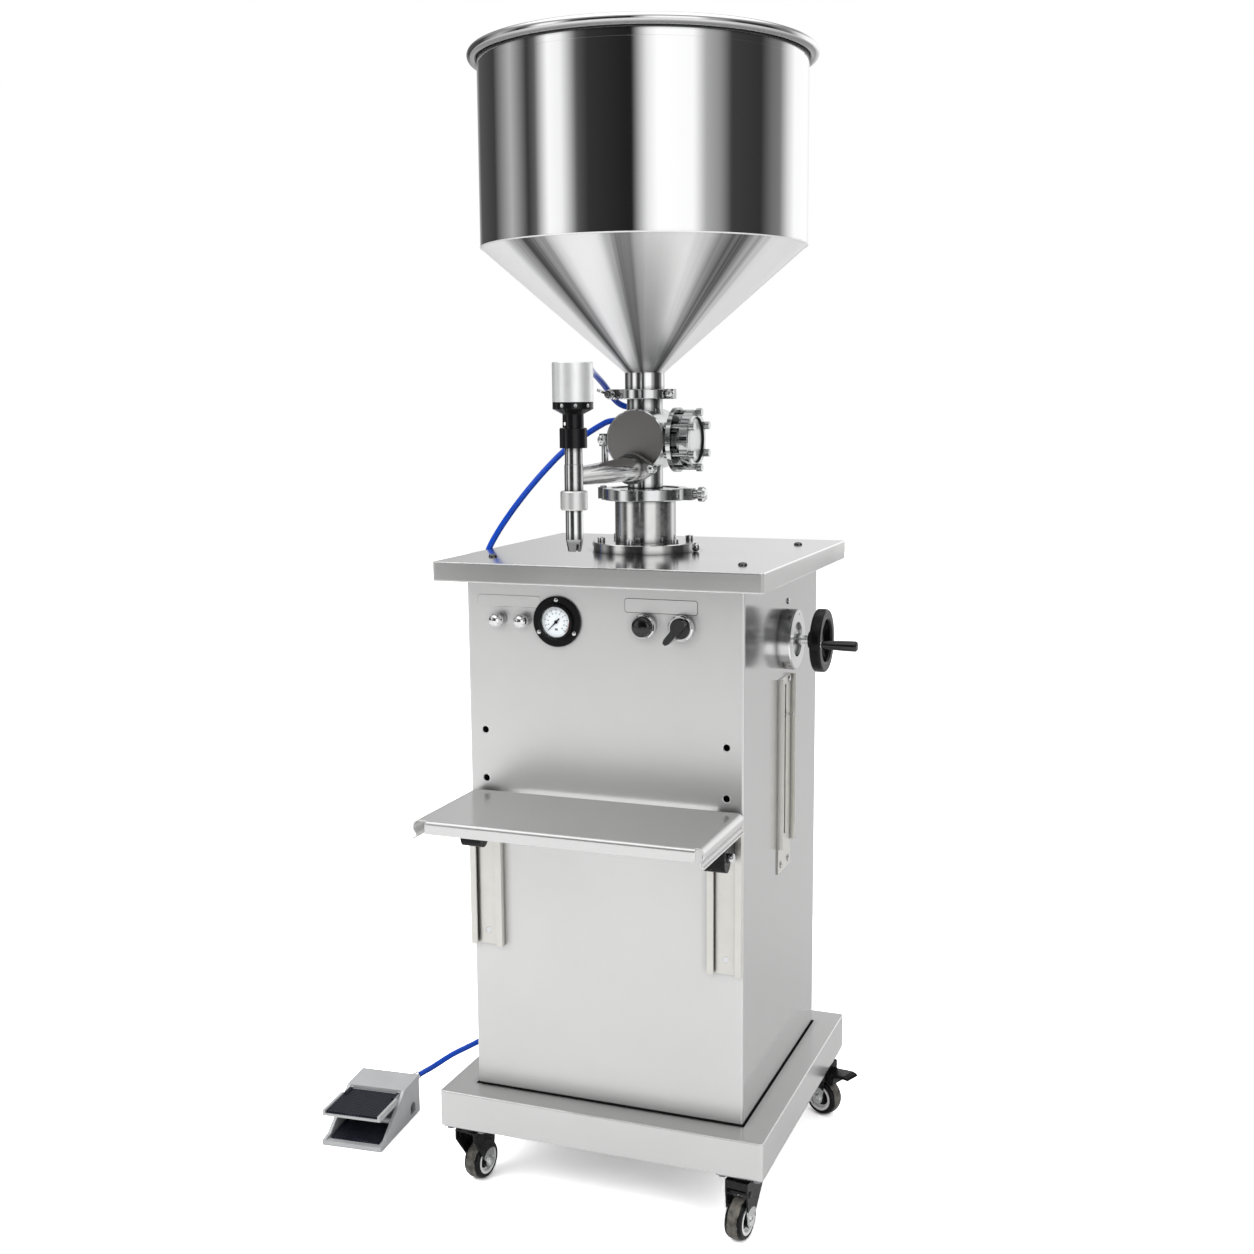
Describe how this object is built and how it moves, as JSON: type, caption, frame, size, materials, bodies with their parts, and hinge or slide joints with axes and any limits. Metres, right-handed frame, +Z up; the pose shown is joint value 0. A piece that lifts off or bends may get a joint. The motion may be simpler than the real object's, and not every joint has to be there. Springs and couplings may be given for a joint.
{
  "type": "piston filling machine",
  "caption": "Pneumatic piston filler on casters: polished hopper over a valve and nozzle, stainless cabinet, height-adjustable shelf, side handwheel and foot pedal.",
  "frame": {"origin": "centre of the whole object's box, on the floor that the casters stand on", "axes": "+X to the machine's right as seen from its front, +Y to the rear, +Z up"},
  "size_m": [0.7186, 0.5812, 1.4385],
  "materials": {
    "satin_steel": "satin brushed stainless",
    "polished_steel": "mirror polished stainless",
    "valve_steel": "matte grey cast stainless",
    "bright_aluminium": "turned and anodised",
    "frame_steel": "grey painted steel",
    "foot_casting": "silver painted casting",
    "cream_metal": "cream anodised metal",
    "black_metal": "black stamped steel",
    "zinc_plate": "dark zinc plated steel",
    "black_plastic": "glossy black plastic",
    "white_plastic": "white piston plastic",
    "chrome_trim": "bright chrome plate",
    "caster_rubber": "black tread on a white hub",
    "blue_hose": "glossy blue air hose",
    "clear_glass": "clear gauge window"
  },
  "bodies": {
    "machine": {"base_pan": "satin_steel", "cabinet": "satin_steel", "rear_panel": "satin_steel", "tabletop": "satin_steel", "fixings": "polished_steel", "caster_plates": "zinc_plate", "metering_cylinder": "satin_steel", "valve_body": "valve_steel", "valve_actuator": "bright_aluminium", "cleanout_cap": "polished_steel", "pipe_clamps": "polished_steel", "hopper": "polished_steel", "outlet_pipe": "satin_steel", "nozzle_tip": "satin_steel", "nozzle_adapter": "black_plastic", "nozzle_air_cylinder": "bright_aluminium", "nozzle_spring": "satin_steel", "drive_frame": "frame_steel", "drive_cylinder": "bright_aluminium", "bearing_blocks": "bright_aluminium", "scale_channel": "cream_metal", "gauge_case": "black_plastic", "gauge_glass": "clear_glass", "control_bezels": "chrome_trim", "shelf_rails": "cream_metal", "air_fittings": "chrome_trim", "nozzle_hose": "blue_hose", "valve_hose": "blue_hose", "foot_hose": "blue_hose", "foot_valve_body": "foot_casting"},
    "valve_plug": {"valve_rotor": "satin_steel"},
    "piston": {"metering_piston": "white_plastic", "piston_rod": "polished_steel"},
    "nozzle_stem": {"nozzle_stem": "polished_steel"},
    "handwheel": {"handwheel": "black_plastic"},
    "handwheel_grip": {"handwheel_grip": "black_plastic"},
    "lead_screw": {"lead_screw": "satin_steel"},
    "stroke_block": {"stroke_block": "bright_aluminium"},
    "gauge_needle": {"gauge_needle": "black_plastic"},
    "stop_button": {"stop_button": "black_plastic"},
    "selector": {"selector_lever": "black_plastic"},
    "speed_knob_left": {"speed_knob_left": "chrome_trim"},
    "speed_knob_right": {"speed_knob_right": "chrome_trim"},
    "foot_pedal": {"foot_pedal": "foot_casting"},
    "shelf": {"shelf": "satin_steel", "shelf_brackets": "black_metal"},
    "shelf_screw_left": {"shelf_screw_left": "chrome_trim"},
    "shelf_screw_right": {"shelf_screw_right": "chrome_trim"},
    "hopper_wing_nut": {"hopper_wing_nut": "polished_steel"},
    "clamp_knob": {"clamp_knob": "polished_steel"},
    "caster_fork_1": {"caster_fork_1": "black_metal"},
    "caster_wheel_1": {"caster_wheel_1": "caster_rubber"},
    "caster_fork_2": {"caster_fork_2": "black_metal"},
    "caster_wheel_2": {"caster_wheel_2": "caster_rubber"},
    "caster_fork_3": {"caster_fork_3": "black_metal"},
    "caster_wheel_3": {"caster_wheel_3": "caster_rubber"},
    "caster_fork_4": {"caster_fork_4": "black_metal"},
    "caster_wheel_4": {"caster_wheel_4": "caster_rubber"},
    "brake_pedal_3": {"brake_pedal_3": "black_metal"},
    "brake_pedal_4": {"brake_pedal_4": "black_metal"}
  },
  "joints": [
    {"name": "valve_turn", "type": "hinge", "parent": "machine", "child": "valve_plug", "pos_m": [0.07079, 0.05394, 0.961], "axis": [0, 1, 0], "range_deg": [0, 90]},
    {"name": "piston_stroke", "type": "slide", "parent": "machine", "child": "piston", "axis": [0, 0, 1], "range_m": [-0.18, 0]},
    {"name": "nozzle_open", "type": "slide", "parent": "machine", "child": "nozzle_stem", "axis": [0, 0, 1], "range_m": [-0.008, 0], "stiffness_N_per_m": 1500, "springref_m": 0.006, "deforming": ["nozzle_spring"]},
    {"name": "handwheel_turn", "type": "hinge", "parent": "machine", "child": "handwheel", "pos_m": [0.30629, 0.05394, 0.711], "axis": [1, 0, 0], "range_deg": [-2160, 10800]},
    {"name": "grip_spin", "type": "hinge", "parent": "handwheel", "child": "handwheel_grip", "pos_m": [0.31329, 0.02069, 0.711], "axis": [1, 0, 0], "continuous": true},
    {"name": "lead_screw_turn", "type": "hinge", "parent": "machine", "child": "lead_screw", "pos_m": [0.22879, 0.05394, 0.561], "axis": [0, 0, 1], "range_deg": [-2160, 10800]},
    {"name": "stroke_block_slide", "type": "slide", "parent": "machine", "child": "stroke_block", "axis": [0, 0, 1], "range_m": [-0.15, 0.03]},
    {"name": "gauge_reading", "type": "hinge", "parent": "machine", "child": "gauge_needle", "pos_m": [0.02129, -0.12706, 0.747], "axis": [0, 1, 0], "range_deg": [0, 270]},
    {"name": "stop_push", "type": "slide", "parent": "machine", "child": "stop_button", "axis": [0, 1, 0], "range_m": [0, 0.004], "stiffness_N_per_m": 400, "springref_m": -0.003},
    {"name": "selector_turn", "type": "hinge", "parent": "machine", "child": "selector", "pos_m": [0.18179, -0.13256, 0.747], "axis": [0, 1, 0], "range_deg": [0, 90]},
    {"name": "speed_left_turn", "type": "hinge", "parent": "machine", "child": "speed_knob_left", "pos_m": [-0.05621, -0.13256, 0.747], "axis": [0, 1, 0], "range_deg": [-1800, 1800]},
    {"name": "speed_right_turn", "type": "hinge", "parent": "machine", "child": "speed_knob_right", "pos_m": [-0.02321, -0.13256, 0.747], "axis": [0, 1, 0], "range_deg": [-1800, 1800]},
    {"name": "pedal_press", "type": "hinge", "parent": "machine", "child": "foot_pedal", "pos_m": [-0.31058, -0.03209, 0.042], "axis": [0.9962, 0.0872, 0], "range_deg": [0, 12], "stiffness_Nm_per_rad": 5, "springref_deg": -8.59},
    {"name": "shelf_height", "type": "slide", "parent": "machine", "child": "shelf", "axis": [0, 0, 1], "range_m": [-0.14, 0]},
    {"name": "shelf_screw_left_turn", "type": "hinge", "parent": "shelf", "child": "shelf_screw_left", "pos_m": [-0.07871, -0.15786, 0.483], "axis": [1, 0, 0], "range_deg": [-720, 720]},
    {"name": "shelf_screw_right_turn", "type": "hinge", "parent": "shelf", "child": "shelf_screw_right", "pos_m": [0.23629, -0.15786, 0.483], "axis": [1, 0, 0], "range_deg": [-720, 720]},
    {"name": "wing_nut_turn", "type": "hinge", "parent": "machine", "child": "hopper_wing_nut", "pos_m": [0.02579, 0.04394, 1.019], "axis": [0, -1, 0], "range_deg": [0, 1440]},
    {"name": "clamp_knob_turn", "type": "hinge", "parent": "machine", "child": "clamp_knob", "pos_m": [0.13699, 0.05394, 0.892], "axis": [1, 0, 0], "range_deg": [0, 720]},
    {"name": "caster_front_left_swivel", "type": "hinge", "parent": "machine", "child": "caster_fork_1", "pos_m": [-0.10521, -0.12756, 0.083], "axis": [0, 0, 1], "continuous": true},
    {"name": "caster_front_left_roll", "type": "hinge", "parent": "caster_fork_1", "child": "caster_wheel_1", "pos_m": [-0.10326, -0.11369, 0.026], "axis": [-0.9903, 0.1392, 0], "continuous": true},
    {"name": "caster_front_right_swivel", "type": "hinge", "parent": "machine", "child": "caster_fork_2", "pos_m": [0.26279, -0.12756, 0.083], "axis": [0, 0, 1], "continuous": true},
    {"name": "caster_front_right_roll", "type": "hinge", "parent": "caster_fork_2", "child": "caster_wheel_2", "pos_m": [0.26084, -0.14142, 0.026], "axis": [0.9903, -0.1392, 0], "continuous": true},
    {"name": "caster_rear_right_swivel", "type": "hinge", "parent": "machine", "child": "caster_fork_3", "pos_m": [0.26279, 0.22544, 0.083], "axis": [0, 0, 1], "continuous": true},
    {"name": "caster_rear_right_roll", "type": "hinge", "parent": "caster_fork_3", "child": "caster_wheel_3", "pos_m": [0.27568, 0.21997, 0.026], "axis": [0.3907, 0.9205, 0], "continuous": true},
    {"name": "caster_rear_right_brake", "type": "hinge", "parent": "caster_fork_3", "child": "brake_pedal_3", "pos_m": [0.27936, 0.21841, 0.0612], "axis": [0.3907, 0.9205, 0], "range_deg": [0, 10]},
    {"name": "caster_rear_left_swivel", "type": "hinge", "parent": "machine", "child": "caster_fork_4", "pos_m": [-0.10521, 0.22544, 0.083], "axis": [0, 0, 1], "continuous": true},
    {"name": "caster_rear_left_roll", "type": "hinge", "parent": "caster_fork_4", "child": "caster_wheel_4", "pos_m": [-0.10764, 0.23923, 0.026], "axis": [-0.9848, -0.1736, 0], "continuous": true},
    {"name": "caster_rear_left_brake", "type": "hinge", "parent": "caster_fork_4", "child": "brake_pedal_4", "pos_m": [-0.10833, 0.24317, 0.0612], "axis": [-0.9848, -0.1736, 0], "range_deg": [0, 10]}
  ],
  "couplings": [
    {"joint": "lead_screw_turn", "follows": "handwheel_turn", "ratio": 1},
    {"joint": "stroke_block_slide", "follows": "handwheel_turn", "m_per_rad": -0.00079577}
  ]
}
